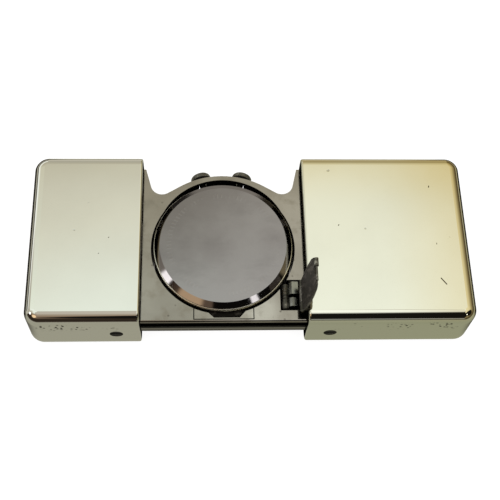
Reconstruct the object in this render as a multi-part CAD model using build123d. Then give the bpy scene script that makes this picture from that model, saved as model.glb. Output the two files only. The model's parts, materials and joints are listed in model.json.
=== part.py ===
"""Slide-open pocket clock with an alarm watch, two sliding case halves and a small fold-out stand.

Millimetres. The clock lies dial down, so +Z points out of its back. Sizes are laid out from the
middle of the window (the watch's own x), and every piece is moved by ROW_SHIFT as it is written,
so that the origin is the middle of the base of the opened case.
"""

import os
from math import cos, radians, sin

from build123d import *

# ---- driving dimensions -------------------------------------------------------------------------
CASE_W = 38.1  # across the case (Y)
CASE_H = 12.7  # thickness of the case (Z)
WALL = 0.6  # sheet of both case halves
END_CORNER_R = 3.05  # plan corner of a closed end
LONG_EDGE_R = 2.3  # bend along the long edges
LIP_R = 0.4  # rounding of the mouths' outer edge
MOUTH_X = 16.85  # both mouths when open, either side of the window
LEFT_LENGTH = 22.8
RIGHT_LENGTH = 34.2
ROW_SHIFT = (LEFT_LENGTH - RIGHT_LENGTH) / 2  # brings the middle of the opened case to x = 0

FRAME_HALF_L = 27.6
FRAME_HALF_W = 17.75
FRAME_Z0 = 3.9  # underside of the frame, where the front plate lies
FRAME_Z1 = 9.1  # plain back surface of the frame
PLATE_T = 0.8  # front plate, and the web of the frame's back

WATCH_Y = -1.15  # the watch's axis, towards the case's near side
WATCH_BORE_R = 14.95  # hole in the frame
RELIEF_R = 13.8  # crescent relief of the bore towards 12 o'clock
RELIEF_RISE = 2.3  # its centre above the watch's axis
RELIEF_Z = 5.0
WATCH_R = 14.5  # watch case
ARCH_R = 17.1  # arched edge of the frame, round the watch
ARCH_END = 31.6  # degrees from 12 o'clock where the arch turns into a straight flank
BAY_FLANK = 6.3  # length of that flank, to the bay's corner
BAY_CORNER_R = 2.4
HORN_X = {-1: 16.35, 1: 16.1}  # where each horn reaches the frame's full width

GROOVE_Z = (6.7, 8.6)  # guide groove in the frame's near side, right under the top bend
GROOVE_DEPTH = 0.4
GROOVE_HALF_L = 23.5
TONGUE_HALF_L = 1.6  # tongue of a guide plate, which runs in the groove
TONGUE_PLAY = 0.1  # its clearance in the groove
SCREW_X = 21.65  # guide screws when open
SCREW_Z = 6.1
SCREW_HEAD_R = 1.3
SCREW_TIP_R = 0.7
GUIDE_PLATE_T = 0.5

CROWN_ANGLES = {"time": 15.0, "alarm": -13.9}  # round from 12 o'clock
CROWN_Z = 7.5
CROWN_R = 2.15
CROWN_INNER = 17.4  # radial reach of a crown, pushed in
CROWN_OUTER = 18.6
CROWN_DOME_R = 0.9
TUBE_R = 0.7
STEM_R = 0.35
FIT = 0.05  # radial clearance of running fits

HINGE_X = 15.6  # stand hinge, just outside the right mouth
HINGE_Z = 11.5
HINGE_R = 0.45
HINGE_PIN_R = 0.22
STAND_Y0 = -16.4
STAND_Y1 = -9.9
STAND_LEAN = 20.0  # degrees past upright, leaning back over the right half
LEG_T = 0.4

# heights in the watch
BEZEL_Z = 0.95
CASE_Z0 = 3.05
RIM_Z = 9.85
RIM_R = 0.3
BACK_Z = 10.85
BACK_FLAT_R = 13.1
DIAL_Z = 3.95
DIAL_T = 0.35
MAIN_PLATE_Z = 4.35
MAIN_PLATE_T = 0.6
BRIDGE_Z = 7.85
BRIDGE_T = 0.5
COVER_Z = 8.72

# the going train: distances between arbors follow from the ratios
WHEEL_T = 0.2
MESH_GAP = 0.02  # plain rims stand this much inside their pitch circles
ARBOR_R = 0.12
SECOND_ARBOR_R = 0.15
STEP_WHEEL_R = 3.0
ROTOR_PINION_R = 0.5  # 6 turns of the rotor to one of the step wheel
SECOND_WHEEL_R = 3.5
STEP_PINION_R = 0.7  # 5 turns of the step wheel to one of the second wheel
THIRD_WHEEL_R = 3.2
SECOND_PINION_R = 0.4  # 8 turns of the second wheel to one of the third
CENTRE_DISTANCE = THIRD_WHEEL_R + SECOND_PINION_R
THIRD_PINION_R = CENTRE_DISTANCE / 8.5  # 7.5 turns of the third wheel to one of the centre wheel
CENTRE_WHEEL_R = CENTRE_DISTANCE - THIRD_PINION_R
CANNON_PINION_R = 0.8
MINUTE_WHEEL_R = 2.4  # 3 turns of the cannon pinion to one of the minute wheel
MINUTE_PINION_R = 0.64
HOUR_WHEEL_R = 2.56  # 4 turns of the minute wheel to one of the hour wheel
ALARM_WHEEL_R = 2.8


# ---- helpers ------------------------------------------------------------------------------------
UP = (Align.CENTER, Align.CENTER, Align.MIN)


def block(x0, x1, y0, y1, z0, z1):
    """Box between two corners."""
    return Pos(x0, y0, z0) * Box(x1 - x0, y1 - y0, z1 - z0, align=(Align.MIN,) * 3)


def disc(radius, z0, z1, at=(0, 0), hole=0.0):
    """Upright disc or ring."""
    solid = Pos(*at, z0) * Cylinder(radius, z1 - z0, align=UP)
    if hole:
        solid -= Pos(*at, z0 - 1) * Cylinder(hole, z1 - z0 + 2, align=UP)
    return solid


def rod_y(radius, y0, y1, x=0.0, z=0.0):
    """Cylinder along Y."""
    return Pos(x, y0, z) * Rot(-90, 0, 0) * Cylinder(radius, y1 - y0, align=UP)


def rod_x(radius, x0, x1, y=0.0, z=0.0):
    """Cylinder along X."""
    return Pos(x0, y, z) * Rot(0, 90, 0) * Cylinder(radius, x1 - x0, align=UP)


def prism(outline, z0, z1):
    """Plan outline raised between two heights."""
    return Pos(0, 0, z0) * extrude(outline, z1 - z0, dir=(0, 0, 1))


def on_polar(distance, degrees):
    """Point at a distance and an angle from +X."""
    return (distance * cos(radians(degrees)), distance * sin(radians(degrees)))


def knurl(solid, radius, count, y0, y1, groove_r):
    """Cut straight grooves round a rod that lies along Y."""
    cutters = []
    for i in range(count):
        angle = 360 / count * i
        cutters.append(Rot(0, angle, 0) * rod_y(groove_r, y0, y1, x=radius))
    return solid - cutters


# ---- case halves --------------------------------------------------------------------------------
def rounded_block(mouth_x, end_x, inset):
    """Case half as a rounded block, shrunk by inset on all sides but its open mouth."""
    side = 1 if end_x > mouth_x else -1
    end = end_x - side * inset
    start = mouth_x - side * 2 * inset
    half_w = CASE_W / 2 - inset
    x0, x1 = sorted((start, end))
    solid = block(x0, x1, -half_w, half_w, inset, CASE_H - inset)
    uprights = [e for e in solid.edges().filter_by(Axis.Z) if abs(e.center().X - end) < 0.01]
    solid = fillet(uprights, END_CORNER_R - inset)
    flats = solid.faces().filter_by(Axis.Z)
    rims = [e for f in flats for e in f.edges() if abs(e.center().X - start) > 0.01]
    return fillet(rims, LONG_EDGE_R - inset)


def case_half(mouth_x, end_x, screw_x):
    """Open-mouthed box of sheet with a hole for its guide screw."""
    outer = rounded_block(mouth_x, end_x, 0.0)
    lip = [e for e in outer.edges() if abs(e.center().X - mouth_x) < 0.01]
    shell = fillet(lip, LIP_R) - rounded_block(mouth_x, end_x, WALL)
    hole = rod_y(SCREW_HEAD_R + FIT, -CASE_W / 2 - 1, -CASE_W / 2 + WALL + 0.2, screw_x, SCREW_Z)
    return shell - hole


def guide_plate(screw_x):
    """Threaded plate inside the near wall, with a tongue that runs in the frame's groove."""
    wall_y = -CASE_W / 2 + WALL
    plate_y = wall_y + GUIDE_PLATE_T
    plate = block(screw_x - 2.5, screw_x + 2.5, wall_y, plate_y, SCREW_Z - 1.5, GROOVE_Z[1])
    plate = fillet(plate.edges().filter_by(Axis.Y), 0.6)
    plate += block(
        screw_x - TONGUE_HALF_L,
        screw_x + TONGUE_HALF_L,
        plate_y,
        -FRAME_HALF_W + GROOVE_DEPTH - TONGUE_PLAY,
        GROOVE_Z[0] + 2 * TONGUE_PLAY,
        GROOVE_Z[1] - 2 * TONGUE_PLAY,
    )
    return plate - rod_y(SCREW_TIP_R + FIT, wall_y - 0.1, plate_y, screw_x, SCREW_Z)


def guide_screw(screw_x):
    """Slotted flush head and a short shank in the guide plate."""
    outer = CASE_W / 2
    screw = rod_y(SCREW_HEAD_R, -outer + 0.08, -outer + WALL, screw_x, SCREW_Z)
    screw += rod_y(SCREW_TIP_R, -outer + WALL, -outer + WALL + GUIDE_PLATE_T, screw_x, SCREW_Z)
    slot = block(screw_x - 2, screw_x + 2, -outer, -outer + 0.33, SCREW_Z - 0.2, SCREW_Z + 0.2)
    return screw - slot


def case_parts():
    parts = {}
    halves = {
        "left": (-MOUTH_X, -MOUTH_X - LEFT_LENGTH, -SCREW_X),
        "right": (MOUTH_X, MOUTH_X + RIGHT_LENGTH, SCREW_X),
    }
    for name, (mouth_x, end_x, screw_x) in halves.items():
        parts[f"{name}_shell"] = case_half(mouth_x, end_x, screw_x)
        parts[f"{name}_guide_plate"] = guide_plate(screw_x)
        parts[f"{name}_guide_screw"] = guide_screw(screw_x)
    return parts


# ---- frame --------------------------------------------------------------------------------------
WINDOW_X = (11.5, 17.4)  # stand window in the frame's back
WINDOW_Y = (-15.35, -8.6)
WINDOW_FLOOR = 7.0
TAB_HALF = 5.95  # watch clamp, at 6 o'clock
TAB_Y = (-17.05, -13.4)
TAB_SLIT = 0.2
CLAMP_Z = 8.0  # seat of the clamp
LUG_Z = 7.4  # underside of the watch's lug
LUG_Y = -15.6  # its reach from the watch's axis
PLATE_INSET = 0.6  # front plate inside the frame's long edges
TOP_BEND_R = 0.45
BOTTOM_BEND_R = 0.5


def frame_plan():
    """Frame's plan: a plate with an arched bay for the crowns between two horns."""
    plate = RectangleRounded(2 * FRAME_HALF_L, 2 * FRAME_HALF_W, 1.5)
    arch_x, arch_y = on_polar(ARCH_R, 90 - ARCH_END)
    arch_y += WATCH_Y
    corner_x = arch_x + BAY_FLANK * cos(radians(ARCH_END))
    corner_y = arch_y - BAY_FLANK * sin(radians(ARCH_END))
    top = FRAME_HALF_W + 1
    sides = {}
    for side, horn_x in HORN_X.items():
        rise = (horn_x - corner_x) / (FRAME_HALF_W - corner_y)
        top_x = corner_x + rise * (top - corner_y)
        sides[side] = [(side * arch_x, arch_y), (side * corner_x, corner_y), (side * top_x, top)]
    bay = Polygon(*reversed(sides[-1]), *sides[1], align=None)
    bay = fillet(bay.vertices().sort_by(Axis.Y)[:2], BAY_CORNER_R)
    bay -= Pos(0, WATCH_Y) * Circle(ARCH_R)
    return plate - bay


def near_edges(solid, height):
    """Long edges of the near side at one height."""
    edges = solid.edges().filter_by(Axis.X)
    return [e for e in edges if e.center().Y < 0 and abs(e.center().Z - height) < 0.01]


def frame_tray():
    """Milled frame: watch bore, end pockets, guide groove, stand window and clamp seat."""
    frame = prism(frame_plan(), FRAME_Z0, FRAME_Z1)
    frame = fillet(near_edges(frame, FRAME_Z1), TOP_BEND_R)
    frame = fillet(near_edges(frame, FRAME_Z0), BOTTOM_BEND_R)
    frame -= disc(WATCH_BORE_R, FRAME_Z0 - 1, FRAME_Z1 + 1, (0, WATCH_Y))
    frame -= disc(RELIEF_R, RELIEF_Z, FRAME_Z1 + 1, (0, WATCH_Y + RELIEF_RISE))
    for side in (-1, 1):
        x0, x1 = sorted((side * 17.6, side * (FRAME_HALF_L - 1.4)))
        frame -= block(x0, x1, -15.6, 15.6, FRAME_Z0 - 1, FRAME_Z1 - PLATE_T)
    for angle in CROWN_ANGLES.values():
        slot = block(-TUBE_R - 0.1, TUBE_R + 0.1, 13, 19, FRAME_Z0 - 1, CROWN_Z + TUBE_R + 0.08)
        frame -= Pos(0, WATCH_Y, 0) * Rot(0, 0, angle) * slot
    wall_y = -FRAME_HALF_W
    frame -= block(-GROOVE_HALF_L, GROOVE_HALF_L, wall_y - 1, wall_y + GROOVE_DEPTH, *GROOVE_Z)
    frame -= block(*WINDOW_X, *WINDOW_Y, WINDOW_FLOOR, FRAME_Z1 + 1)
    half = TAB_HALF + TAB_SLIT
    frame -= block(-half, half, TAB_Y[0] - TAB_SLIT, TAB_Y[1], CLAMP_Z, FRAME_Z1 + 1)
    return frame - block(-3.8, 4.8, LUG_Y + WATCH_Y - 0.12, TAB_Y[1], LUG_Z - 0.1, CLAMP_Z + 0.1)


def front_plate():
    """Dial-side plate that closes the frame and carries the watch's bezel flange."""
    inner_w = FRAME_HALF_W - PLATE_INSET
    plate = prism(frame_plan(), FRAME_Z0 - PLATE_T, FRAME_Z0)
    plate &= block(-FRAME_HALF_L, FRAME_HALF_L, -inner_w, inner_w, 0, FRAME_Z0)
    plate -= disc(WATCH_BORE_R, 0, FRAME_Z0 + 1, (0, WATCH_Y))
    for x, y in plate_screw_points():
        plate -= disc(0.75, 0, FRAME_Z0 + 1, (x, y))
    return plate


def plate_screw_points():
    return [(sx * 16.2, sy) for sx in (-1, 1) for sy in (-13.6, 9.4)]


def plate_screws():
    """Four slotted screws that hold the front plate to the frame."""
    screws = Part()
    for x, y in plate_screw_points():
        screw = disc(1.2, FRAME_Z0 - PLATE_T - 0.45, FRAME_Z0 - PLATE_T, (x, y))
        screw += disc(0.7, FRAME_Z0 - PLATE_T, FRAME_Z0, (x, y))
        screw -= block(x - 1.5, x + 1.5, y - 0.15, y + 0.15, 2.0, FRAME_Z0 - PLATE_T - 0.25)
        screws += screw
    return screws


def glide_pads():
    """Plastic pads at the frame's ends that keep it centred between the case's walls."""
    pads = Part()
    for side_x in (-1, 1):
        for side_y in (-1, 1):
            x0, x1 = sorted((side_x * 22.6, side_x * 25.6))
            y0, y1 = sorted((side_y * 12.0, side_y * 16.0))
            pads += block(x0, x1, y0, y1, FRAME_Z1, CASE_H - WALL - 0.15)
            pads += block(x0, x1, y0, y1, WALL + 0.15, FRAME_Z0 - PLATE_T)
    return pads


def watch_clamp():
    """Tab let into the frame at 6 o'clock, notched for the watch's lug."""
    clamp = block(-TAB_HALF, TAB_HALF, TAB_Y[0], TAB_Y[1], CLAMP_Z, FRAME_Z1)
    clamp -= disc(WATCH_BORE_R, 7, 10, (0, WATCH_Y))
    notch_y = LUG_Y + WATCH_Y - 0.1
    notch = Polygon((-3.9, -15.0), (-2.0, notch_y), (3.2, notch_y), (4.8, -15.0), align=None)
    return clamp - prism(notch, 7, 10)


def catch_rod():
    """Cross rod in the stand window, ringed near its lower end."""
    x, z = 12.6, 8.55
    rod = rod_y(0.75, -14.95, -9.65, x, z)
    for y in (-12.85, -12.35):
        rod -= rod_y(2, y, y + 0.2, x, z) - rod_y(0.6, y, y + 0.2, x, z)
    return rod


def catch_leaves():
    """Two leaf springs on the cross rod that press on the open case half."""
    leaves = Part()
    for y0, y1, reach in ((-11.8, -9.1, 15.7), (-14.45, -12.6, 15.4)):
        outline = [
            (13.4, 8.3),
            (13.4, 9.05),
            (13.9, 9.45),
            (reach - 0.5, 9.3),
            (reach, 8.7),
            (reach, 8.3),
        ]
        profile = Polygon(*outline, align=None)
        leaves += Pos(0, y1, 0) * Rot(90, 0, 0) * prism(profile, 0, y1 - y0)
    return leaves


def frame_parts():
    return {
        "frame_tray": frame_tray(),
        "front_plate": front_plate(),
        "plate_screws": plate_screws(),
        "glide_pads": glide_pads(),
        "watch_clamp": watch_clamp(),
        "catch_rod": catch_rod(),
        "catch_leaves": catch_leaves(),
    }


# ---- stand --------------------------------------------------------------------------------------
ROLLER_H = 7.35  # height of the foot roller up the leg
ROLLER_R = 0.45
ROLLER_Y = (-9.8, -8.1)
ROLLER_PIN_R = 0.22
LEG_KNUCKLE = (-14.6, -11.7)
KNUCKLE_GAP = 0.1


def stand_place():
    """The leg is drawn upright over the hinge and leans back by STAND_LEAN."""
    return Pos(HINGE_X, 0, HINGE_Z) * Rot(0, STAND_LEAN, 0)


def stand_bracket():
    """Hinge strap under the right half's top wall, with two outer knuckles."""
    inner_top = CASE_H - WALL
    reach = MOUTH_X + 3.6
    strap = block(HINGE_X, reach, STAND_Y0, STAND_Y1, HINGE_Z + 0.12, HINGE_Z + HINGE_R)
    strap += block(MOUTH_X + 0.1, reach, STAND_Y0, STAND_Y1, HINGE_Z + 0.12, inner_top)
    strap += rod_y(HINGE_R, STAND_Y0, STAND_Y1, HINGE_X, HINGE_Z)
    middle = (LEG_KNUCKLE[0] - KNUCKLE_GAP, LEG_KNUCKLE[1] + KNUCKLE_GAP)
    strap -= block(HINGE_X - 1, HINGE_X + 0.75, *middle, HINGE_Z - 1, HINGE_Z + 1)
    return strap - rod_y(HINGE_PIN_R + 0.02, STAND_Y0 - 1, STAND_Y1 + 1, HINGE_X, HINGE_Z)


def stand_pin():
    return rod_y(HINGE_PIN_R, STAND_Y0, STAND_Y1, HINGE_X, HINGE_Z)


def stand_leg():
    """Slanted fin with a knuckle between the bracket's two."""
    outline = [
        (-14.6, 0.0),
        (-14.6, 0.62),
        (-16.5, 0.75),
        (-16.55, 1.8),
        (-16.15, 3.7),
        (-15.3, 5.4),
        (-14.4, 6.7),
        (-13.6, 7.15),
        (-11.4, 7.15),
        (-11.3, 6.75),
        (-7.7, 6.75),
        (-7.55, 5.6),
        (-8.0, 4.2),
        (-8.75, 2.6),
        (-9.55, 1.2),
        (-9.85, 0.62),
        (-11.7, 0.62),
        (-11.7, 0.0),
    ]
    fin = Plane.YZ.location * extrude(Polygon(*outline, align=None), LEG_T / 2, both=True)
    fin += rod_y(HINGE_R, *LEG_KNUCKLE)
    fin -= rod_y(HINGE_PIN_R + FIT, -20, -5)
    fin -= rod_y(ROLLER_R + 0.03, ROLLER_Y[0] - 0.1, -7, z=ROLLER_H)
    fin -= rod_y(ROLLER_PIN_R + 0.03, -20, -5, z=ROLLER_H)
    return stand_place() * fin


def stand_roller():
    """Knurled foot on a thin pin along the leg's top edge."""
    head = knurl(rod_y(ROLLER_R, *ROLLER_Y), ROLLER_R, 12, ROLLER_Y[0] - 0.1, ROLLER_Y[1] - 0.5, 0.07)
    pin = rod_y(ROLLER_PIN_R, -12.9, ROLLER_Y[0])
    return stand_place() * Pos(0, 0, ROLLER_H) * (head + pin)


def stand_parts():
    return {
        "stand_bracket": stand_bracket(),
        "stand_pin": stand_pin(),
        "stand_leg": stand_leg(),
        "stand_roller": stand_roller(),
    }


# ---- watch case ---------------------------------------------------------------------------------
def case_middle():
    """Ring between bezel and back, with a rounded rim, a back seat and two stem holes."""
    ring = disc(WATCH_R, CASE_Z0, RIM_Z)
    ring = fillet(ring.edges().filter_by(GeomType.CIRCLE).sort_by(Axis.Z)[-1], RIM_R)
    ring -= disc(13.4, 0, 20)
    ring -= disc(14.0, 8.8, 20)
    for angle in CROWN_ANGLES.values():
        ring -= Rot(0, 0, angle) * rod_y(TUBE_R + 0.02, 12, 16, z=CROWN_Z)
    return ring


def case_back():
    """Snap-on back: a skirt, a flange on the rim, a broad bevel and a flat polished face."""
    flange_z = RIM_Z + 0.02
    profile = [
        (0, 10.35),
        (12.6, 10.35),
        (13.3, 9.7),
        (13.3, 9.0),
        (13.9, 9.0),
        (13.9, flange_z),
        (14.22, flange_z),
        (14.22, 10.15),
        (BACK_FLAT_R, BACK_Z),
        (0, BACK_Z),
    ]
    face = Plane.XZ * Polygon(*profile, align=None)
    return revolve(face, Axis.Z)


def case_lug():
    """Dark hook at 6 o'clock that the clamp holds."""
    outline = Polygon((-3.4, -13.5), (-2.1, LUG_Y), (3.0, LUG_Y), (4.3, -13.5), align=None)
    lug = prism(outline, LUG_Z, 8.85)
    lug += block(-1.2, 2.2, LUG_Y + 0.05, -14.4, 8.85, 9.0)
    return lug - disc(WATCH_R, 0, 20)


def bezel():
    """Front ring whose flange rests on the front plate."""
    ring = disc(15.4, BEZEL_Z, CASE_Z0)
    ring = chamfer(ring.edges().filter_by(GeomType.CIRCLE).sort_by(Axis.Z)[0], 0.7)
    ring -= disc(13.05, 0, CASE_Z0 + 1)
    return ring - disc(13.38, 2.5, CASE_Z0 + 1)


def watch_case_parts():
    parts = {
        "case_middle": case_middle(),
        "case_back": case_back(),
        "case_lug": case_lug(),
        "case_gasket": disc(13.95, 8.8, 8.98, hole=13.5),
        "bezel": bezel(),
        "crystal": disc(12.7, BEZEL_Z + 0.1, 2.1),
        "crystal_gasket": disc(13.03, BEZEL_Z + 0.1, 2.1, hole=12.72),
        "dial_ring": disc(13.3, 2.55, DIAL_Z - 0.05, hole=12.4),
        "dial": disc(13.2, DIAL_Z, DIAL_Z + DIAL_T, hole=0.95),
        "piezo_disc": disc(9.0, 10.02, 10.3),
    }
    return {name: Pos(0, WATCH_Y, 0) * solid for name, solid in parts.items()}


# ---- movement -----------------------------------------------------------------------------------
STEP_AT = on_polar(STEP_PINION_R + SECOND_WHEEL_R, 158.2)
ROTOR_AT = tuple(a + b for a, b in zip(STEP_AT, on_polar(STEP_WHEEL_R + ROTOR_PINION_R, 240)))
THIRD_AT = on_polar(CENTRE_DISTANCE, 36)
MINUTE_AT = on_polar(CANNON_PINION_R + MINUTE_WHEEL_R, -70)
BATTERY_AT = (8.0, -2.2)
BATTERY_R = 3.4
COIL_X = (-5.5, 1.5)
COIL_Y = -7.0
COIL_Z = 7.25
PILLARS = ((-2.0, 6.4), (2.6, 6.3), (3.9, -4.4))


def spoked(radius, z0, at=(0, 0), bore=0.0):
    """Thin wheel with a rim, a hub and four crossings."""
    wheel = disc(radius - MESH_GAP, z0, z0 + WHEEL_T, at, bore)
    ring_mid = radius * 0.55
    for i in range(4):
        x, y = on_polar(ring_mid, 45 + 90 * i)
        wheel -= disc(radius * 0.22, z0 - 1, z0 + 1, (at[0] + x, at[1] + y))
    return wheel


def pinion(radius, z0, at=(0, 0), bore=0.0):
    return disc(radius - MESH_GAP, z0, z0 + WHEEL_T, at, bore)


def movement_ring():
    """Plastic ring that centres the movement in its case, slotted for both stems."""
    ring = disc(13.3, MAIN_PLATE_Z, 8.6, hole=12.15)
    for angle in CROWN_ANGLES.values():
        ring -= Rot(0, 0, angle) * block(-1.4, 1.4, 11, 14, CROWN_Z - 1.4, 9)
    return ring


def main_plate():
    plate = disc(12.0, MAIN_PLATE_Z, MAIN_PLATE_Z + MAIN_PLATE_T, hole=0.95)
    for at in (STEP_AT, ROTOR_AT, THIRD_AT):
        plate -= disc(ARBOR_R + FIT, MAIN_PLATE_Z + 0.2, 6, at)
    return plate + disc(ARBOR_R, MAIN_PLATE_Z, 5.92, MINUTE_AT)


def circuit_board():
    board = disc(11.6, 5.1, 5.5) & block(-12, 12, -12, -4.1, 5, 6)
    return board - disc(0.55, 4, 7, PILLARS[2])


def coil():
    coil_body = rod_x(1.1, *COIL_X, COIL_Y, COIL_Z)
    return coil_body - block(-9, 9, COIL_Y - 0.45, COIL_Y + 0.45, COIL_Z - 0.22, COIL_Z + 0.22)


def coil_core():
    return block(-7.1, 3.1, COIL_Y - 0.4, COIL_Y + 0.4, COIL_Z - 0.2, COIL_Z + 0.2)


def stator():
    """Soft-iron plate that bridges the core's ends and rings the rotor."""
    plate = block(-7.2, 3.2, -8.3, -3.6, 6.7, 7.0)
    plate -= block(COIL_X[0] - 0.2, COIL_X[1] + 0.2, -10, -5.1, 6, 8)
    plate += block(-7.2, -4.1, -3.7, -0.1, 6.7, 7.0)
    return plate - disc(1.0, 6, 8, ROTOR_AT)


def train_bridge():
    """Bridge over the train, on three pillars, with a pivot hole for each arbor."""
    bridge = disc(7.3, BRIDGE_Z, BRIDGE_Z + BRIDGE_T)
    bridge -= block(-9, 9, -9, -5.3, 7, 9)
    bridge -= disc(BATTERY_R + 0.2, 7, 9, BATTERY_AT)
    for at in PILLARS:
        bridge += disc(0.5, MAIN_PLATE_Z + MAIN_PLATE_T, BRIDGE_Z, at)
    bridge -= disc(SECOND_ARBOR_R + FIT, 7, 9)
    for at in (STEP_AT, ROTOR_AT, THIRD_AT):
        bridge -= disc(ARBOR_R + FIT, 7, 9, at)
    return bridge


def battery():
    cell = disc(BATTERY_R, 6.4, 8.2, BATTERY_AT)
    return cell + disc(BATTERY_R - 0.5, 8.2, 8.5, BATTERY_AT)


def battery_clamp():
    x, y = BATTERY_AT
    strip = block(x - 4.6, x + 2.4, y - 0.8, y + 0.8, 8.52, 8.68)
    return strip - disc(0.45, 8, 9, (x - 3.9, y))


def wheels():
    """Turning pieces of the train; the second arbor carries the wheel that the motor steps."""
    second = spoked(SECOND_WHEEL_R, 7.05) + pinion(SECOND_PINION_R, 6.65)
    second += disc(SECOND_ARBOR_R, 2.3, 8.1)
    third = spoked(THIRD_WHEEL_R, 6.65, THIRD_AT) + pinion(THIRD_PINION_R, 6.0, THIRD_AT)
    third += disc(ARBOR_R, 4.6, 8.1, THIRD_AT)
    centre = spoked(CENTRE_WHEEL_R, 6.0, bore=0.2) + pinion(CANNON_PINION_R, 5.65, bore=0.2)
    centre += disc(0.35, 2.7, 6.2, hole=0.2)
    minute = spoked(MINUTE_WHEEL_R, 5.65, MINUTE_AT) + pinion(MINUTE_PINION_R, 5.35, MINUTE_AT)
    minute += disc(0.3, 5.35, 5.85, MINUTE_AT)
    minute -= disc(ARBOR_R + FIT, 5, 7, MINUTE_AT)
    hour = spoked(HOUR_WHEEL_R, 5.35, bore=0.4) + disc(0.6, 3.1, 5.55, hole=0.4)
    alarm = spoked(ALARM_WHEEL_R, 5.05, bore=0.65) + disc(0.85, 3.55, 5.25, hole=0.65)
    step = spoked(STEP_WHEEL_R, 7.45, STEP_AT) + pinion(STEP_PINION_R, 7.05, STEP_AT)
    step += disc(ARBOR_R, 4.6, 8.1, STEP_AT)
    rotor = disc(0.75, 6.4, 7.3, ROTOR_AT) + pinion(ROTOR_PINION_R, 7.45, ROTOR_AT)
    rotor += disc(ARBOR_R, 4.6, 8.1, ROTOR_AT)
    return {
        "second_wheel": second,
        "third_wheel": third,
        "centre_wheel": centre,
        "minute_wheel": minute,
        "hour_wheel": hour,
        "alarm_wheel": alarm,
        "step_wheel": step,
        "rotor": rotor,
    }


def movement_parts():
    parts = {
        "movement_ring": movement_ring(),
        "main_plate": main_plate(),
        "circuit_board": circuit_board(),
        "coil": coil(),
        "coil_core": coil_core(),
        "stator": stator(),
        "train_bridge": train_bridge(),
        "battery": battery(),
        "battery_clamp": battery_clamp(),
        "movement_cover": disc(12.0, COVER_Z, COVER_Z + 0.2),
        **wheels(),
    }
    return {name: Pos(0, WATCH_Y, 0) * solid for name, solid in parts.items()}


# ---- hands --------------------------------------------------------------------------------------
def hand(reach, tail, half_w, z0, bore, boss_r):
    """Tapered hand that points to 12 o'clock, with a boss and a counterweight tail."""
    outline = [
        (-half_w, 0.6),
        (-half_w * 0.45, reach),
        (half_w * 0.45, reach),
        (half_w, 0.6),
        (half_w * 0.8, -tail),
        (-half_w * 0.8, -tail),
    ]
    blade = prism(Polygon(*outline, align=None), z0, z0 + 0.15)
    return blade + disc(boss_r, z0, z0 + 0.15) - disc(bore, z0 - 1, z0 + 1)


def hand_parts():
    """Each hand is turned to its place: the clock is stored at ten past ten."""
    places = {
        "second_hand": (hand(10.5, 3.0, 0.16, 2.35, SECOND_ARBOR_R, 0.5), -150),
        "minute_hand": (hand(9.8, 1.6, 0.42, 2.75, 0.35, 0.8), 60),
        "hour_hand": (hand(6.6, 1.4, 0.55, 3.15, 0.6, 1.05), -55),
        "alarm_hand": (hand(5.2, 1.2, 0.3, 3.6, 0.85, 1.2), -90),
    }
    return {
        name: Pos(0, WATCH_Y, 0) * Rot(0, 0, turn) * blade for name, (blade, turn) in places.items()
    }


# ---- crowns -------------------------------------------------------------------------------------
def crown():
    """Knurled cap with a domed end and a bored neck."""
    cap = rod_y(CROWN_R, CROWN_INNER, CROWN_OUTER)
    outer_edge = cap.edges().filter_by(GeomType.CIRCLE).sort_by(Axis.Y)[-1]
    cap = fillet(outer_edge, CROWN_DOME_R)
    cap = knurl(cap, CROWN_R, 28, CROWN_INNER - 1, CROWN_OUTER - 0.5, 0.13)
    cap -= rod_y(TUBE_R + 0.15, CROWN_INNER - 1, CROWN_INNER + 0.35)
    return cap - rod_y(STEM_R, CROWN_INNER - 1, CROWN_INNER + 1.2)


def crown_parts():
    parts = {}
    tube = rod_y(TUBE_R, 13.6, 17.0) - rod_y(STEM_R + FIT, 13, 18)
    stem = rod_y(STEM_R, 9.6, CROWN_INNER + 1.2)
    yoke = block(-0.9, 0.9, 12.4, 12.8, -0.9, 0.9) - rod_y(STEM_R + FIT, 12, 13)
    for name, angle in CROWN_ANGLES.items():
        place = Pos(0, WATCH_Y, CROWN_Z) * Rot(0, 0, angle)
        parts[f"{name}_tube"] = place * tube
        parts[f"{name}_stem"] = place * stem
        parts[f"{name}_yoke"] = place * yoke
        parts[f"{name}_crown"] = place * crown()
    return parts


# ---- output -------------------------------------------------------------------------------------
def write(parts):
    os.makedirs("parts", exist_ok=True)
    for name, solid in parts.items():
        export_step(Pos(ROW_SHIFT, 0, 0) * solid, f"parts/{name}.step")


for make in (case_parts, frame_parts, stand_parts, watch_case_parts, movement_parts, hand_parts, crown_parts):
    write(make())
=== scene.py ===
"""Looks of the slide-open pocket clock: finishes for its CAD nodes, added detail, studio and camera.

Metres, in the row frame: +X along the case towards the longer half, +Y across it towards the
crowns, +Z up out of the clock's back. The clock lies dial down on the floor at z = 0.
"""

import json
import math

import bmesh
import bpy
from mathutils import Matrix, Vector


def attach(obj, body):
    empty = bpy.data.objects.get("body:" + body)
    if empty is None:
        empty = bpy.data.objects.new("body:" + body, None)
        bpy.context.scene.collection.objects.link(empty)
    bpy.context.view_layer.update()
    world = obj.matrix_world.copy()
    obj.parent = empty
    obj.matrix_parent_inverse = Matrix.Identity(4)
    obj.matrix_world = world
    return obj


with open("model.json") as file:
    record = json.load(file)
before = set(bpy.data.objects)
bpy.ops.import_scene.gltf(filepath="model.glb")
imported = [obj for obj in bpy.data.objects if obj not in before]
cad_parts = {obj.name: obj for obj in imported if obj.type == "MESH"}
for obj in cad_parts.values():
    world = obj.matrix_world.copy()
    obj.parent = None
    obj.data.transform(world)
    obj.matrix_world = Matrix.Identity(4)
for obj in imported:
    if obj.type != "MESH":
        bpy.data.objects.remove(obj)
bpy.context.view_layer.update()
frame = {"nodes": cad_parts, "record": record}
MM = 0.001
WATCH_AXIS = (-5.7 * MM, -1.15 * MM, 0.0)


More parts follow.
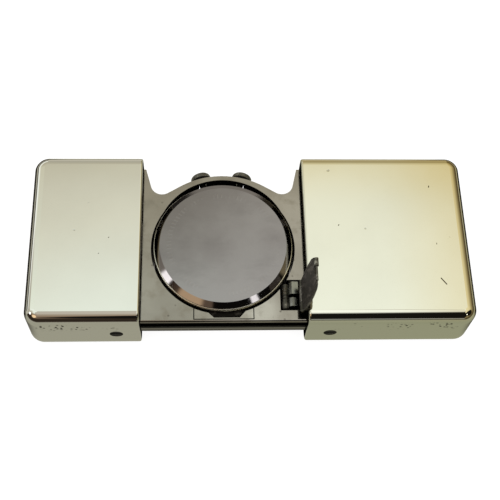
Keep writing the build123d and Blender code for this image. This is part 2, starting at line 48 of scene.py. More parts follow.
# ---- node graphs --------------------------------------------------------------------------------
class Graph:
    """Small helper that builds shader nodes as nested calls."""

    def __init__(self, tree):
        self.tree = tree
        tree.nodes.clear()

    def add(self, kind, feeds=None, **settings):
        node = self.tree.nodes.new(kind)
        for name, value in settings.items():
            setattr(node, name, value)
        for name, value in (feeds or {}).items():
            self.feed(node.inputs[name], value)
        return node

    def feed(self, socket, value):
        if isinstance(value, bpy.types.NodeSocket):
            self.tree.links.new(value, socket)
        elif hasattr(value, "__len__") and socket.type == "RGBA" and len(value) == 3:
            socket.default_value = (*value, 1.0)
        else:
            socket.default_value = value

    def math(self, operation, a, b=0.0, clamp=False):
        return self.add("ShaderNodeMath", {0: a, 1: b}, operation=operation, use_clamp=clamp).outputs[0]

    def vector(self, operation, a, b=(0.0, 0.0, 0.0)):
        node = self.add("ShaderNodeVectorMath", {0: a, 1: b}, operation=operation)
        return node.outputs["Value" if operation in ("LENGTH", "DOT_PRODUCT") else "Vector"]

    def scaled(self, vector, scale):
        return self.vector("MULTIPLY", vector, scale)

    def mix(self, factor, a, b):
        """Blend of two colours. The node's sockets 0, 6 and 7 are its factor and its colours."""
        node = self.add("ShaderNodeMix", data_type="RGBA")
        for index, value in ((0, factor), (6, a), (7, b)):
            self.feed(node.inputs[index], value)
        return node.outputs[2]

    def ramp(self, factor, stops):
        """Colour by factor, from stops of (position, colour or grey)."""
        node = self.add("ShaderNodeValToRGB", {0: factor})
        elements = node.color_ramp.elements
        for _ in range(len(stops) - 2):
            elements.new(0.5)
        for element, (position, colour) in zip(elements, stops):
            element.position = position
            if not hasattr(colour, "__len__"):
                colour = (colour, colour, colour)
            element.color = (*colour, 1.0)
        return node.outputs["Color"]

    def smooth(self, value, low, high, out_low=0.0, out_high=1.0):
        """Smooth step of value from low to high."""
        feeds = {"Value": value, "From Min": low, "From Max": high, "To Min": out_low, "To Max": out_high}
        return self.add("ShaderNodeMapRange", feeds, interpolation_type="SMOOTHSTEP").outputs[0]

    def noise(self, vector, scale, detail=3.0, roughness=0.5):
        feeds = {"Vector": vector, "Scale": scale, "Detail": detail, "Roughness": roughness}
        return self.add("ShaderNodeTexNoise", feeds).outputs["Fac"]

    def cells(self, vector, scale):
        """Distance to the nearest of scattered points."""
        feeds = {"Vector": vector, "Scale": scale}
        return self.add("ShaderNodeTexVoronoi", feeds).outputs["Distance"]

    def place(self):
        """Position in the row frame and its three numbers."""
        point = self.add("ShaderNodeTexCoord").outputs["Object"]
        return point, self.add("ShaderNodeSeparateXYZ", {0: point}).outputs

    def upward(self):
        """How far the surface faces up, from -1 to 1."""
        normal = self.add("ShaderNodeTexCoord").outputs["Normal"]
        return self.add("ShaderNodeSeparateXYZ", {0: normal}).outputs[2]

    def plan_radius(self, x, y):
        """Distance from the origin in plan."""
        squares = self.math("ADD", self.math("MULTIPLY", x, x), self.math("MULTIPLY", y, y))
        return self.math("SQRT", squares)

    def bump(self, height, distance):
        feeds = {"Height": height, "Distance": distance, "Strength": 1.0}
        return self.add("ShaderNodeBump", feeds).outputs[0]

    def finish(self, **inputs):
        """Principled surface with the inputs named as the shader names them."""
        feeds = {name.replace("_", " "): value for name, value in inputs.items()}
        shader = self.add("ShaderNodeBsdfPrincipled", feeds)
        self.add("ShaderNodeOutputMaterial", {"Surface": shader.outputs[0]})


def material(name):
    made = bpy.data.materials.new(name)
    made.use_nodes = True
    return made, Graph(made.node_tree)


# ---- finishes -----------------------------------------------------------------------------------
# dents and scratches on the case's top: both ends of each stroke and its half width, in millimetres
STROKES = {
    "chrome_case": ((-29.1, -0.6, -29.0, -0.5, 0.09), (-31.0, -4.2, -30.9, -4.1, 0.07)),
    "warm_case": (
        (38.4, -9.95, 39.4, -11.3, 0.13),
        (38.0, 11.2, 38.05, 11.5, 0.12),
        (18.2, 2.1, 18.3, 2.3, 0.1),
        (38.3, -2.3, 38.35, -2.0, 0.07),
    ),
}


def strokes(g, x, y, name):
    """1 on the case's few deep scratches, seen in plan."""
    flat = g.add("ShaderNodeCombineXYZ", {0: x, 1: y}).outputs[0]
    found = 0.0
    for x0, y0, x1, y1, half in STROKES[name]:
        start, end = Vector((x0, y0, 0.0)) * MM, Vector((x1, y1, 0.0)) * MM
        length = (end - start).length
        along = tuple((end - start).normalized())
        offset = g.vector("SUBTRACT", flat, tuple(start))
        reach = g.math("MINIMUM", g.math("MAXIMUM", g.vector("DOT_PRODUCT", offset, along), 0.0), length)
        step = g.add("ShaderNodeCombineXYZ", {0: reach, 1: reach}).outputs[0]
        apart = g.vector("LENGTH", g.vector("SUBTRACT", offset, g.scaled(step, (along[0], along[1], 0.0))))
        found = g.math("MAXIMUM", found, g.smooth(apart, half * MM, half * 0.4 * MM))
    return found


def plated_case(name, face, side, edge, golden, pits):
    """Worn mirror plate of a case half: clean flats, duller sides with pits and painted shade, tarnish at
    the end, painted contact shade along the bottom.
    """
    made, g = material(name)
    point, (x, y, z) = g.place()
    nz = g.upward()
    upright = g.smooth(g.math("ABSOLUTE", nz), 0.75, 0.25)
    cloud = g.noise(point, 70.0, 4.0, 0.55)
    colour = g.mix(g.smooth(cloud, 0.35, 0.7), face, tuple(c * 0.965 for c in face))
    colour = g.mix(golden(g, x, y, cloud), colour, edge)
    # painted shade: walls that face sideways take the darker side colour, on top of their rougher plate
    colour = g.mix(upright, colour, side)
    # painted contact shade: the low bend next to the floor is made near black
    contact_shade = g.math("MULTIPLY", g.smooth(z, 1.9 * MM, 0.5 * MM), g.smooth(nz, 0.2, -0.5, 0.45, 0.9))
    colour = g.mix(contact_shade, colour, (0.06, 0.055, 0.045))
    # corrosion pits, thick just under the bends and rare elsewhere
    under_bend = g.math("MULTIPLY", g.smooth(z, 7.0 * MM, 10.0 * MM), g.smooth(z, 11.2 * MM, 10.6 * MM))
    grain = g.noise(point, 420.0, 2.0, 0.6)
    spot = g.smooth(g.cells(point, 1300.0), 0.42, 0.26)
    rare = g.smooth(g.noise(point, 230.0, 1.0), pits, pits - 0.1)
    pit = g.math("MULTIPLY", spot, g.math("MULTIPLY", rare, under_bend))
    dot = g.math("MULTIPLY", g.smooth(g.cells(point, 170.0), 0.075, 0.05), g.smooth(grain, 0.52, 0.6))
    flaw = g.math("MAXIMUM", pit, g.math("MULTIPLY", dot, 0.35))
    top = g.math("GREATER_THAN", z, 10.5 * MM)
    flaw = g.math("MAXIMUM", flaw, g.math("MULTIPLY", strokes(g, x, y, name), top))
    colour = g.mix(flaw, colour, (0.03, 0.025, 0.015))
    # fine hairlines in two directions
    turned = g.add("ShaderNodeMapping", {"Vector": point, "Rotation": (0.0, 0.0, 0.7)}).outputs[0]
    hair = g.noise(g.scaled(turned, (90.0, 5200.0, 90.0)), 1.0, 2.0)
    hair_2 = g.noise(g.scaled(point, (4200.0, 60.0, 60.0)), 1.0, 2.0)
    scratch = g.math("MAXIMUM", g.smooth(hair, 0.66, 0.74), g.smooth(hair_2, 0.68, 0.76))
    rough = g.math("ADD", g.math("MULTIPLY", cloud, 0.05), g.math("MULTIPLY", scratch, 0.05))
    rough = g.math("ADD", rough, g.math("MULTIPLY", upright, 0.1))
    rough = g.math("ADD", rough, g.math("MULTIPLY", flaw, 0.4))
    wave = g.noise(point, 60.0, 1.0)
    normal = g.bump(g.math("SUBTRACT", wave, g.math("MULTIPLY", flaw, 0.4)), 0.00006)
    g.finish(Base_Color=colour, Metallic=1.0, Roughness=rough, Normal=normal)
    return made


def tarnish_left(g, x, y, cloud):
    return g.math("MULTIPLY", g.smooth(y, 10.0 * MM, 20.0 * MM), 0.35)


def tarnish_right(g, x, y, cloud):
    """Golden tarnish that deepens towards the far edge and the closed end."""
    end = g.smooth(x, 26.0 * MM, 45.0 * MM)
    far = g.smooth(y, 6.0 * MM, 18.5 * MM)
    rim = g.math("MAXIMUM", g.smooth(x, 46.0 * MM, 50.5 * MM), g.smooth(y, 16.0 * MM, 18.8 * MM))
    amount = g.math("ADD", g.math("MULTIPLY", end, 0.45), g.math("MULTIPLY", far, 0.35))
    amount = g.math("ADD", amount, g.math("MULTIPLY", rim, 0.5))
    return g.math("MULTIPLY", amount, g.smooth(cloud, 0.1, 0.6, 0.7, 1.0), clamp=True)


def brushed(name, light, dark, grain_scale, rough, stains=0.35, brush=(60.0, 2600.0, 2600.0)):
    """Brushed or milled metal with faint stains."""
    made, g = material(name)
    point, _ = g.place()
    stain = g.smooth(g.noise(point, 190.0, 4.0, 0.6), 0.45, 0.72)
    blotch = g.smooth(g.noise(point, 60.0, 3.0, 0.5), 0.3, 0.75)
    grain = g.noise(g.scaled(point, brush), grain_scale, 2.0, 0.6)
    colour = g.mix(blotch, light, dark)
    colour = g.mix(g.math("MULTIPLY", stain, stains), colour, tuple(c * 0.72 for c in dark))
    colour = g.mix(g.smooth(grain, 0.35, 0.75, 0.0, 0.22), colour, tuple(c * 0.55 for c in dark))
    shine = g.math("ADD", rough, g.math("MULTIPLY", grain, 0.12))
    g.finish(Base_Color=colour, Metallic=1.0, Roughness=shine, Normal=g.bump(grain, 0.000006))
    return made


# recesses of the frame that get painted shade: opposite corners of a box round each, in millimetres
FRAME_RECESSES = (
    ((-40.0, -17.8, 5.9), (30.0, -17.2, 8.62)),  # guide groove
    ((-12.1, -17.3, 6.0), (0.7, -14.0, 9.03)),  # seat of the watch clamp
    ((5.7, -15.5, 6.0), (11.8, -8.4, 9.02)),  # stand window
)
BORE_EDGE_R = 16.4 * MM
FRAME_TOP_Z = 9.02 * MM
TAB_SIDE = (2.0 * MM, -15.2 * MM, 9.1 * MM)  # centre of a lighter patch beside the clamp


def box_mask(g, numbers, low, high):
    """1 inside a box of the row frame, in millimetres, and 0 outside."""
    mask = None
    for value, start, end in zip(numbers, low, high):
        above = g.math("GREATER_THAN", value, start * MM)
        below = g.math("LESS_THAN", value, end * MM)
        both = g.math("MULTIPLY", above, below)
        mask = both if mask is None else g.math("MULTIPLY", mask, both)
    return mask


def frame_finish(name):
    """Polished nickel frame with brushed haze and stains, with painted shade inside its bore, groove and
    window, on its near wall and along the bottom of its near side.
    """
    made, g = material(name)
    point, (x, y, z) = g.place()
    dx = g.math("SUBTRACT", x, WATCH_AXIS[0])
    dy = g.math("SUBTRACT", y, WATCH_AXIS[1])
    # painted shade: near black inside the bore below the frame's top and in the recesses
    inside = g.math("LESS_THAN", g.plan_radius(dx, dy), BORE_EDGE_R)
    black = g.math("MULTIPLY", inside, g.math("LESS_THAN", z, FRAME_TOP_Z))
    for low, high in FRAME_RECESSES:
        black = g.math("MAXIMUM", black, box_mask(g, (x, y, z), low, high))
    # painted shade along the bottom of the frame's near side
    under = g.math("MULTIPLY", g.smooth(z, 5.6 * MM, 5.0 * MM), g.math("LESS_THAN", y, -17.0 * MM))
    stain = g.smooth(g.noise(point, 240.0, 5.0, 0.62), 0.46, 0.7)
    blotch = g.smooth(g.noise(point, 90.0, 3.0, 0.5), 0.3, 0.75)
    grain = g.noise(g.scaled(point, (60.0, 2600.0, 2600.0)), 1.0, 2.0, 0.6)
    left = g.smooth(dx, 4.0 * MM, -12.0 * MM)
    # painted shade: the near side wall below z 8.5 mm is greyer than the top
    wall = g.math("MULTIPLY", g.math("LESS_THAN", y, -17.6 * MM), g.math("LESS_THAN", z, 8.5 * MM))
    colour = g.mix(blotch, (0.43, 0.4, 0.365), (0.335, 0.308, 0.276))
    colour = g.mix(wall, colour, (0.28, 0.265, 0.25))
    colour = g.mix(g.math("MULTIPLY", left, 0.2), colour, (0.25, 0.225, 0.2))
    apart = g.vector("LENGTH", g.vector("SUBTRACT", point, TAB_SIDE))
    colour = g.mix(g.smooth(apart, 5.0 * MM, 1.5 * MM, 0.0, 0.6), colour, (0.62, 0.6, 0.56))
    colour = g.mix(g.math("MULTIPLY", stain, 0.5), colour, (0.27, 0.245, 0.21))
    fleck = g.math("MULTIPLY", g.smooth(g.cells(point, 420.0), 0.13, 0.07), g.smooth(blotch, 0.3, 0.7))
    colour = g.mix(g.math("MULTIPLY", fleck, 0.55), colour, (0.06, 0.05, 0.035))
    # painted shade along the bottom of the near side
    colour = g.mix(g.math("MULTIPLY", under, 0.85), colour, (0.08, 0.072, 0.065))
    # painted shade, near black, in the bore and the recesses
    colour = g.mix(black, colour, (0.012, 0.011, 0.01))
    shine = g.math("ADD", 0.07, g.math("MULTIPLY", grain, 0.06))
    shine = g.math("ADD", shine, g.math("MULTIPLY", stain, 0.12))
    shine = g.math("ADD", shine, g.math("MULTIPLY", black, 0.4))
    g.finish(Base_Color=colour, Metallic=1.0, Roughness=shine, Normal=g.bump(grain, 0.000003))
    return made


def watch_polish(name, light, dark, rough):
    """Turned and polished watch steel, with a ring of fine marks round its back, painted shade towards its
    far left and a painted sheen towards its near side.
    """
    made, g = material(name)
    point, _ = g.place()
    flat = g.vector("SUBTRACT", point, WATCH_AXIS)
    x, y, _ = g.add("ShaderNodeSeparateXYZ", {0: flat}).outputs
    radius = g.plan_radius(x, y)
    angle = g.math("ARCTAN2", y, x)
    rings = g.noise(g.add("ShaderNodeCombineXYZ", {0: radius}).outputs[0], 9000.0, 3.0, 0.7)
    cloud = g.noise(point, 120.0, 4.0, 0.55)
    colour = g.mix(g.smooth(cloud, 0.3, 0.7), light, dark)
    # painted shade towards the far left of the back
    far_left = g.smooth(g.math("SUBTRACT", y, x), -6.0 * MM, 20.0 * MM, 0.0, 0.4)
    colour = g.mix(far_left, colour, tuple(c * 0.62 for c in dark))
    # painted sheen towards the near side of the back
    near = g.smooth(y, -2.0 * MM, -11.0 * MM, 0.0, 0.8)
    colour = g.mix(near, colour, tuple(c * 1.12 for c in light))
    smear = g.smooth(g.noise(g.scaled(point, (120.0, 260.0, 120.0)), 1.0, 4.0, 0.6), 0.46, 0.74, 0.0, 0.22)
    colour = g.mix(smear, colour, tuple(c * 0.6 for c in dark))
    # short radial ticks between two fine circles
    outside = g.smooth(radius, 10.75 * MM, 10.85 * MM)
    band = g.math("MULTIPLY", outside, g.smooth(radius, 11.75 * MM, 11.65 * MM))
    wedge = g.math("SINE", g.math("MULTIPLY", angle, 84.0))
    worn = g.smooth(g.noise(point, 320.0, 2.0), 0.4, 0.62)
    tick = g.math("MULTIPLY", g.math("MULTIPLY", band, g.smooth(wedge, 0.3, 0.7)), worn)
    colour = g.mix(g.math("MULTIPLY", tick, 0.12), colour, tuple(c * 1.6 for c in light))
    shine = g.math("ADD", rough, g.math("MULTIPLY", rings, 0.05))
    height = g.math("ADD", g.math("MULTIPLY", rings, 0.15), g.math("MULTIPLY", tick, 0.5))
    g.finish(Base_Color=colour, Metallic=1.0, Roughness=shine, Normal=g.bump(height, 0.00001))
    return made


def dark_metal(name, base, edge, rough=0.32, metal=0.9):
    """Blued or blackened steel, rubbed bright along its grain."""
    made, g = material(name)
    point, _ = g.place()
    rub = g.smooth(g.noise(g.scaled(point, (900.0, 900.0, 300.0)), 1.0, 4.0, 0.6), 0.48, 0.72)
    speck = g.noise(point, 2600.0, 3.0, 0.6)
    colour = g.mix(rub, base, edge)
    colour = g.mix(g.smooth(speck, 0.5, 0.8, 0.0, 0.5), colour, tuple(c * 0.5 for c in base))
    shine = g.math("ADD", rough, g.math("MULTIPLY", speck, 0.2))
    g.finish(Base_Color=colour, Metallic=metal, Roughness=shine, Normal=g.bump(speck, 0.00001))
    return made


def moulded(name, light, dark, rough, coat=0.0):
    """Plastic, rubber or paint with a fine grain."""
    made, g = material(name)
    point, _ = g.place()
    cloud = g.noise(point, 260.0, 3.0)
    grain = g.noise(point, 5200.0, 2.0)
    colour = g.mix(g.smooth(cloud, 0.3, 0.7), light, dark)
    shine = g.math("ADD", rough, g.math("MULTIPLY", grain, 0.15))
    g.finish(Base_Color=colour, Roughness=shine, Coat_Weight=coat, Normal=g.bump(grain, 0.000008))
    return made


def windings(name):
    """Enamelled copper wire laid turn by turn along the coil."""
    made, g = material(name)
    point, (x, y, _) = g.place()
    turn = g.math("SINE", g.math("MULTIPLY", g.math("ADD", x, g.math("MULTIPLY", y, 0.4)), 42000.0))
    cloud = g.noise(point, 900.0, 3.0)
    colour = g.mix(g.smooth(turn, -1.0, 1.0), (0.16, 0.045, 0.015), (0.62, 0.22, 0.08))
    colour = g.mix(g.smooth(cloud, 0.4, 0.7, 0.0, 0.3), colour, (0.3, 0.12, 0.05))
    g.finish(Base_Color=colour, Metallic=0.8, Roughness=0.3, Normal=g.bump(turn, 0.00004))
    return made


def board(name):
    """Green solder mask with copper tracks under it."""
    made, g = material(name)
    point, _ = g.place()
    tracks = g.smooth(g.cells(point, 900.0), 0.38, 0.42)
    grain = g.noise(point, 3000.0, 2.0)
    colour = g.mix(tracks, (0.02, 0.12, 0.05), (0.045, 0.22, 0.08))
    colour = g.mix(g.smooth(grain, 0.4, 0.8, 0.0, 0.3), colour, (0.01, 0.08, 0.03))
    g.finish(Base_Color=colour, Roughness=0.35, Coat_Weight=0.3, Normal=g.bump(tracks, 0.00003))
    return made


def crystal_glass(name):
    """Mineral glass with light hairlines."""
    made, g = material(name)
    point, _ = g.place()
    hair = g.smooth(g.noise(g.scaled(point, (120.0, 4200.0, 120.0)), 1.0, 2.0), 0.66, 0.74)
    shine = g.math("ADD", 0.02, g.math("MULTIPLY", hair, 0.12))
    g.finish(Base_Color=(0.95, 0.98, 0.97), Roughness=shine, Transmission_Weight=1.0, IOR=1.5)
    return made


FINISHES = {
    "chrome_case": plated_case(
        "chrome_case", (0.9, 0.9, 0.87), (0.86, 0.86, 0.8), (0.86, 0.84, 0.72), tarnish_left, 0.47
    ),
    "warm_case": plated_case(
        "warm_case", (0.93, 0.935, 0.85), (0.74, 0.76, 0.66), (0.86, 0.73, 0.42), tarnish_right, 0.5
    ),
    "watch_chrome": watch_polish("watch_chrome", (0.33, 0.312, 0.327), (0.285, 0.265, 0.278), 0.05),
    "frame_nickel": frame_finish("frame_nickel"),
    "steel": brushed("steel", (0.6, 0.6, 0.59), (0.5, 0.5, 0.49), 1.0, 0.18, stains=0.2),
    "spring_steel": brushed("spring_steel", (0.42, 0.43, 0.42), (0.33, 0.34, 0.33), 1.0, 0.16, stains=0.5),
    "dark_steel": dark_metal("dark_steel", (0.06, 0.058, 0.05), (0.17, 0.165, 0.15)),
    "nylon": moulded("nylon", (0.78, 0.77, 0.72), (0.7, 0.68, 0.62), 0.4),
    "seal": moulded("seal", (0.02, 0.02, 0.02), (0.035, 0.035, 0.035), 0.55),
    "crystal_glass": crystal_glass("crystal_glass"),
    "dial_white": moulded("dial_white", (0.86, 0.86, 0.82), (0.82, 0.81, 0.76), 0.35, coat=0.3),
    "brass_parts": brushed("brass_parts", (0.72, 0.53, 0.24), (0.62, 0.44, 0.19), 1.0, 0.2, stains=0.25),
    "board_green": board("board_green"),
    "copper_coil": windings("copper_coil"),
    "hand_black": moulded("hand_black", (0.012, 0.012, 0.012), (0.025, 0.025, 0.025), 0.25, coat=0.6),
    "hand_red": moulded("hand_red", (0.55, 0.03, 0.02), (0.45, 0.025, 0.02), 0.3, coat=0.5),
}

# nodes that look different from the rest of their slot
CROWN_FINISH = dark_metal("crown_steel", (0.15, 0.145, 0.13), (0.3, 0.29, 0.26), 0.2)
# painted shade: near-black steel for parts that sit down in the groove, the lug seat and the bore
SHADE_BLACK_FINISH = dark_metal("steel_painted_shade", (0.012, 0.011, 0.01), (0.05, 0.046, 0.042), 0.35, metal=1.0)
NODE_FINISHES = {
    "time_crown": CROWN_FINISH,
    "alarm_crown": CROWN_FINISH,
    "stand_roller": dark_metal("roller_steel", (0.12, 0.115, 0.1), (0.5, 0.49, 0.45), 0.2),
    "stand_leg": dark_metal("leg_steel", (0.12, 0.115, 0.108), (0.28, 0.265, 0.25), 0.3),
    "catch_rod": dark_metal("rod_steel", (0.07, 0.068, 0.06), (0.3, 0.29, 0.26), 0.22),
    "case_middle": brushed("rim_steel", (0.78, 0.76, 0.7), (0.66, 0.64, 0.58), 1.0, 0.2, stains=0.3),
}
# guide screws, lug and crown tubes get the near-black painted shade
for shaded_node in ("left_guide_screw", "right_guide_screw", "case_lug", "time_tube", "alarm_tube"):
    NODE_FINISHES[shaded_node] = SHADE_BLACK_FINISH


def paint_nodes():
    """Gives every CAD node the finish of its material slot in the record, or its own variant of it."""
    for part in frame["record"]["subparts"]:
        node = frame["nodes"][part["node"]]
        finish = NODE_FINISHES.get(part["node"], FINISHES[part["material_slot"]])
        if not node.material_slots:
            node.data.materials.append(finish)
        for held in node.material_slots:
            held.material = finish


paint_nodes()


# ---- added pieces -------------------------------------------------------------------------------
DIAL_FACE_Z = 3.95 * MM
HOUR_MARK_R = 11.2 * MM
MINUTE_MARK_R = 12.05 * MM
NOON_OFFSET = 0.32  # of each of the two bars at 12 o'clock, in millimetres
ROD_X, ROD_Z = 6.9 * MM, 8.55 * MM  # cross rod in the stand window
SPRING_R = 0.8 * MM
SPRING_WIRE_R = 0.09 * MM
SPRING_START_Y = -11.9 * MM
SPRING_LENGTH = 1.5 * MM


def linked(name, mesh):
    """Object in the scene made from a finished mesh."""
    data = bpy.data.meshes.new(name)
    mesh.to_mesh(data)
    mesh.free()
    made = bpy.data.objects.new(name, data)
    bpy.context.scene.collection.objects.link(made)
    return made


def mesh_piece(name, mesh, slot):
    """Added piece with the finish of its material slot, riding on the body that stays still."""
    made = linked(name, mesh)
    made.data.materials.append(FINISHES[slot])
    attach(made, "root")
    return made


def bevelled_bar(mesh, length, width, depth, placing):
    """Bar along Y with its outer long edges chamfered, put in place by a matrix."""
    half, lip = width / 2, depth * 0.5
    section = (
        (-half, 0.0),
        (half, 0.0),
        (half, -depth + lip),
        (half - lip, -depth),
        (lip - half, -depth),
        (-half, -depth + lip),
    )
    rings = []
    for y in (-length / 2, length / 2):
        rings.append([mesh.verts.new(placing @ Vector((x, y, z))) for x, z in section])
    mesh.faces.new(rings[0])
    mesh.faces.new(reversed(rings[1]))
    count = len(section)
    for i in range(count):
        j = (i + 1) % count
        mesh.faces.new((rings[0][i], rings[1][i], rings[1][j], rings[0][j]))


def dial_marks():
    """Hour bars, doubled at 12 o'clock, with minute strokes between them."""
    mesh = bmesh.new()
    centre = Matrix.Translation((WATCH_AXIS[0], WATCH_AXIS[1], DIAL_FACE_Z))
    for minute in range(60):
        turn = Matrix.Rotation(math.radians(6.0 * minute), 4, "Z")
        if minute % 5:
            place = centre @ turn @ Matrix.Translation((0.0, MINUTE_MARK_R, 0.0))
            bevelled_bar(mesh, 0.5 * MM, 0.1 * MM, 0.03 * MM, place)
            continue
        for offset in (-NOON_OFFSET, NOON_OFFSET) if minute == 0 else (0.0,):
            place = centre @ turn @ Matrix.Translation((offset * MM, HOUR_MARK_R, 0.0))
            bevelled_bar(mesh, 1.9 * MM, 0.38 * MM, 0.08 * MM, place)
    bmesh.ops.recalc_face_normals(mesh, faces=mesh.faces)
    return mesh_piece("dial_marks", mesh, "hand_black")


def tube_along(mesh, points, radius, sides=8):
    """Round wire swept along points, with closed ends."""
    rings = []
    for i, point in enumerate(points):
        ahead = points[min(i + 1, len(points) - 1)] - points[max(i - 1, 0)]
        turn = ahead.to_track_quat("Z", "Y").to_matrix()
        ring = []
        for k in range(sides):
            angle = 2.0 * math.pi * k / sides
            spoke = turn @ Vector((math.cos(angle), math.sin(angle), 0.0))
            ring.append(mesh.verts.new(point + spoke * radius))
        rings.append(ring)
    for first, second in zip(rings, rings[1:]):
        for k in range(sides):
            j = (k + 1) % sides
            mesh.faces.new((first[k], first[j], second[j], second[k]))
    mesh.faces.new(reversed(rings[0]))
    mesh.faces.new(rings[-1])


def rod_spring():
    """Return spring wound round the cross rod."""
    mesh = bmesh.new()
    turns, steps = 5, 20
    points = []
    for i in range(turns * steps + 1):
        angle = 2.0 * math.pi * i / steps
        x = ROD_X + SPRING_R * math.cos(angle)
        y = SPRING_START_Y + SPRING_LENGTH * i / (turns * steps)
        z = ROD_Z + SPRING_R * math.sin(angle)
        points.append(Vector((x, y, z)))
    tube_along(mesh, points, SPRING_WIRE_R)
    bmesh.ops.recalc_face_normals(mesh, faces=mesh.faces)
    return mesh_piece("rod_spring", mesh, "spring_steel")


dial_marks()
rod_spring()


# ---- studio -------------------------------------------------------------------------------------
# colours of the room by the z of a direction: 0 at the horizon and 1 straight up
BACK_LEFT = (
    (0.0, (0.6, 0.57, 0.48)),
    (0.45, (0.42, 0.4, 0.33)),
    (0.84, (0.54, 0.51, 0.4)),
    (0.88, (0.72, 0.71, 0.58)),
    (0.925, (0.87, 0.93, 0.83)),
    (0.945, (0.85, 0.91, 0.8)),
    (0.955, (0.45, 0.42, 0.34)),
    (0.97, (0.52, 0.48, 0.4)),
    (1.0, (0.55, 0.5, 0.42)),
)
BACK_RIGHT = (
    (0.0, (0.5, 0.45, 0.33)),
    (0.4, (0.34, 0.3, 0.18)),
    (0.83, (0.72, 0.68, 0.5)),
    (0.87, (0.84, 0.83, 0.7)),
    (0.92, (0.93, 0.95, 0.85)),
    (0.945, (0.93, 0.95, 0.85)),
    (0.953, (0.5, 0.48, 0.38)),
    (0.965, (1.0, 1.0, 0.93)),
    (1.0, (1.1, 1.1, 1.02)),
)
FRONT_LEFT = (
    (0.0, (0.1, 0.08, 0.06)),
    (0.22, (0.02, 0.014, 0.01)),
    (0.6, (0.04, 0.028, 0.018)),
    (0.68, (0.2, 0.14, 0.09)),
    (0.9, (0.3, 0.22, 0.15)),
    (0.975, (0.42, 0.36, 0.28)),
    (1.0, (0.55, 0.5, 0.42)),
)
FRONT_RIGHT = (
    (0.0, (0.2, 0.19, 0.15)),
    (0.2, (0.05, 0.045, 0.035)),
    (0.25, (0.7, 0.7, 0.66)),  # thin bright sill
    (0.3, (0.012, 0.01, 0.008)),
    (0.94, (0.02, 0.016, 0.012)),
    (0.965, (0.5, 0.5, 0.46)),
    (1.0, (1.1, 1.1, 1.02)),
)
RIGHT_WALL = (
    (0.0, (0.04, 0.033, 0.02)),
    (0.3, (0.14, 0.11, 0.055)),
    (0.6, (0.42, 0.36, 0.2)),
    (0.85, (0.8, 0.72, 0.46)),
    (1.0, (0.95, 0.9, 0.68)),
)
# the left wall goes by the y of a direction, from beside the clock to behind it
LEFT_WALL = (
    (0.3, (0.9, 0.95, 0.85)),
    (0.37, (0.84, 0.89, 0.77)),
    (0.52, (0.6, 0.57, 0.44)),
    (0.75, (0.45, 0.42, 0.33)),
)
# azimuth and elevation in degrees, cosines of the outer and inner radius, colour
ROOM_PATCHES = (
    (289.0, 48.0, 0.92, 0.935, (0.008, 0.007, 0.006)),
    (335.0, 40.0, 0.92, 0.95, (0.008, 0.007, 0.006)),
    (222.0, 49.0, 0.965, 0.985, (1.0, 0.72, 0.42)),
    (184.0, 36.0, 0.99, 0.996, (3.0, 3.0, 2.85)),
    (315.0, 44.0, 0.9972, 0.9988, (2.3, 2.3, 2.2)),
    (165.0, 28.0, 0.965, 0.985, (0.45, 0.42, 0.34)),
)


def build_world():
    """Soft room as reflections see it: pale ceiling, khaki back wall and a dark front."""
    world = bpy.data.worlds.new("studio")
    bpy.context.scene.world = world
    world.use_nodes = True
    g = Graph(world.node_tree)
    direction = g.add("ShaderNodeTexCoord").outputs["Generated"]
    x, y, z = g.add("ShaderNodeSeparateXYZ", {0: direction}).outputs
    right = g.smooth(x, -0.05, 0.08)
    back = g.mix(right, g.ramp(z, BACK_LEFT), g.ramp(z, BACK_RIGHT))
    front = g.mix(right, g.ramp(z, FRONT_LEFT), g.ramp(z, FRONT_RIGHT))
    colour = g.mix(g.smooth(y, 0.03, -0.12), back, front)
    # the left wall is pale below its middle and dark at the floor
    left_wall = g.mix(g.smooth(z, 0.55, 0.35), g.ramp(y, LEFT_WALL), (0.95, 0.96, 0.88))
    left_wall = g.mix(g.smooth(z, 0.24, 0.14), left_wall, (0.04, 0.035, 0.03))
    turned = g.math("MULTIPLY", g.smooth(x, -0.17, -0.22), g.smooth(y, 0.12, 0.28))
    colour = g.mix(turned, colour, left_wall)
    colour = g.mix(g.smooth(x, 0.29, 0.36), colour, g.ramp(z, RIGHT_WALL))
    for azimuth, elevation, low, high, shade in ROOM_PATCHES:
        colour = g.mix(patch(g, direction, azimuth, elevation, low, high), colour, shade)
    background = g.add("ShaderNodeBackground", {"Color": colour, "Strength": 1.0})
    g.add("ShaderNodeOutputWorld", {"Surface": background.outputs[0]})


def patch(g, direction, azimuth, elevation, low, high):
    """Round patch of the room round a direction, given in degrees from +X and from the horizon."""
    a, e = math.radians(azimuth), math.radians(elevation)
    toward = (math.cos(a) * math.cos(e), math.sin(a) * math.cos(e), math.sin(e))
    return g.smooth(g.vector("DOT_PRODUCT", direction, toward), low, high)


STAGE_HALF = 3.0
DOME_R = 2.9
FLOOR_Z = -0.03 * MM
CARD_Z = -0.2 * MM


def hide_from(piece, *rays):
    """Leaves a piece out of the kinds of ray named."""
    for ray in rays:
        setattr(piece, "visible_" + ray, False)


def grid_sheet(name, z):
    """Square sheet of the stage, facing up."""
    mesh = bmesh.new()
    bmesh.ops.create_grid(mesh, x_segments=16, y_segments=16, size=STAGE_HALF)
    bmesh.ops.translate(mesh, verts=mesh.verts, vec=(0.0, 0.0, z))
    made = linked(name, mesh)
    return made


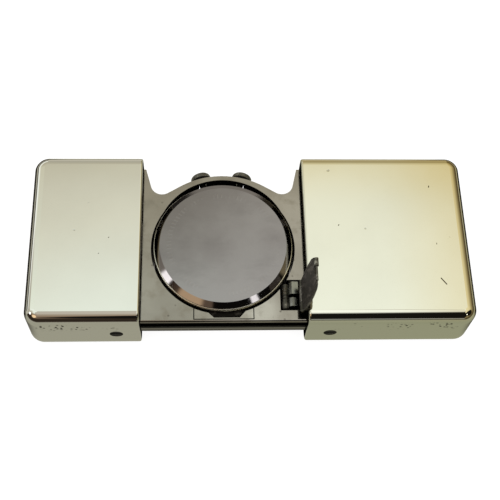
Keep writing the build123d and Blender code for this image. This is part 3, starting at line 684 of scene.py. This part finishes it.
def build_floor():
    """Pale floor for the camera and for diffuse light, clear from below."""
    floor = grid_sheet("floor", FLOOR_Z)
    made, g = material("floor_paper")
    point, _ = g.place()
    pulp = g.noise(point, 900.0, 3.0)
    feeds = {
        "Base Color": g.mix(g.smooth(pulp, 0.3, 0.7), (0.14, 0.14, 0.14), (0.13, 0.13, 0.13)),
        "Roughness": 0.9,
        "Emission Strength": 0.92,
        "Emission Color": (1.0, 1.0, 1.0),
    }
    paper = g.add("ShaderNodeBsdfPrincipled", feeds)
    below = g.add("ShaderNodeNewGeometry").outputs["Backfacing"]
    clear = g.add("ShaderNodeBsdfTransparent")
    sheet = g.add("ShaderNodeMixShader", {0: below, 1: paper.outputs[0], 2: clear.outputs[0]})
    g.add("ShaderNodeOutputMaterial", {"Surface": sheet.outputs[0]})
    floor.data.materials.append(made)
    hide_from(floor, "glossy")


def build_floor_card():
    """Darker floor that polished metal reflects, black past both ends of the clock."""
    card = grid_sheet("floor_card", CARD_Z)
    made, g = material("floor_card")
    _, (x, y, _) = g.place()
    glow = g.mix(g.smooth(x, -0.02, 0.05), (0.36, 0.35, 0.28), (0.36, 0.355, 0.25))
    reach = g.math("ABSOLUTE", x)
    ends = g.math("MULTIPLY", g.smooth(reach, 0.044, 0.048), g.smooth(reach, 0.1, 0.08))
    ends = g.math("MULTIPLY", ends, g.smooth(y, -0.024, -0.012))
    glow = g.mix(ends, glow, (0.02, 0.017, 0.012))
    glow = g.mix(g.smooth(y, 0.05, 0.12), glow, (0.55, 0.52, 0.43))
    light = g.add("ShaderNodeEmission", {"Color": glow, "Strength": 1.0})
    g.add("ShaderNodeOutputMaterial", {"Surface": light.outputs[0]})
    card.data.materials.append(made)
    hide_from(card, "camera", "diffuse", "transmission", "shadow")


def build_backdrop():
    """Pale dome that only the camera sees, behind the clock in low views."""
    mesh = bmesh.new()
    bmesh.ops.create_uvsphere(mesh, u_segments=48, v_segments=24, radius=DOME_R)
    dome = linked("backdrop", mesh)
    made, g = material("backdrop")
    _, (_, _, z) = g.place()
    height = g.math("ADD", g.math("MULTIPLY", z, 0.17), 0.5)
    glow = g.ramp(height, ((0.0, 0.86), (0.5, 1.0), (1.0, 0.9)))
    light = g.add("ShaderNodeEmission", {"Color": glow, "Strength": 1.0})
    g.add("ShaderNodeOutputMaterial", {"Surface": light.outputs[0]})
    dome.data.materials.append(made)
    hide_from(dome, "glossy", "diffuse", "transmission", "shadow")


# name, place, side and watts of each lamp
LAMPS = (
    ("key_light", (-0.35, -0.3, 0.6), 0.7, 4.0),
    ("fill_light", (0.5, -0.2, 0.5), 0.8, 3.0),
    ("top_light", (0.0, 0.35, 0.7), 0.9, 4.0),
)


def build_lights():
    """Large soft lights, each aimed at the origin and left out of reflections."""
    for name, place, size, watts in LAMPS:
        lamp = bpy.data.lights.new(name, "AREA")
        lamp.shape = "SQUARE"
        lamp.size = size
        lamp.energy = watts
        made = bpy.data.objects.new(name, lamp)
        made.location = place
        made.rotation_euler = (-Vector(place)).to_track_quat("-Z", "Y").to_euler()
        hide_from(made, "glossy")
        bpy.context.scene.collection.objects.link(made)


CAMERA_PLACE = (-0.010057, -0.090521, 0.192185)
CAMERA_TURN = -6.4  # degrees about the vertical
CAMERA_TILT = 26.005  # degrees up from looking straight down
CAMERA_ROLL = 5.605  # degrees about the line of sight


def build_camera():
    """The main view, and the scene's camera."""
    camera = bpy.data.cameras.new("camera")
    camera.sensor_width = 36.0
    camera.lens = 70.55
    camera.clip_start = 0.01
    camera.clip_end = 20.0
    made = bpy.data.objects.new("camera", camera)
    turn = Matrix.Rotation(math.radians(CAMERA_TURN), 4, "Z")
    tilt = Matrix.Rotation(math.radians(CAMERA_TILT), 4, "X")
    roll = Matrix.Rotation(math.radians(CAMERA_ROLL), 4, "Z")
    made.matrix_world = Matrix.Translation(CAMERA_PLACE) @ turn @ tilt @ roll
    bpy.context.scene.collection.objects.link(made)
    bpy.context.scene.camera = made


build_world()
build_floor()
build_floor_card()
build_backdrop()
build_lights()
build_camera()
bpy.context.scene.view_settings.view_transform = "Standard"
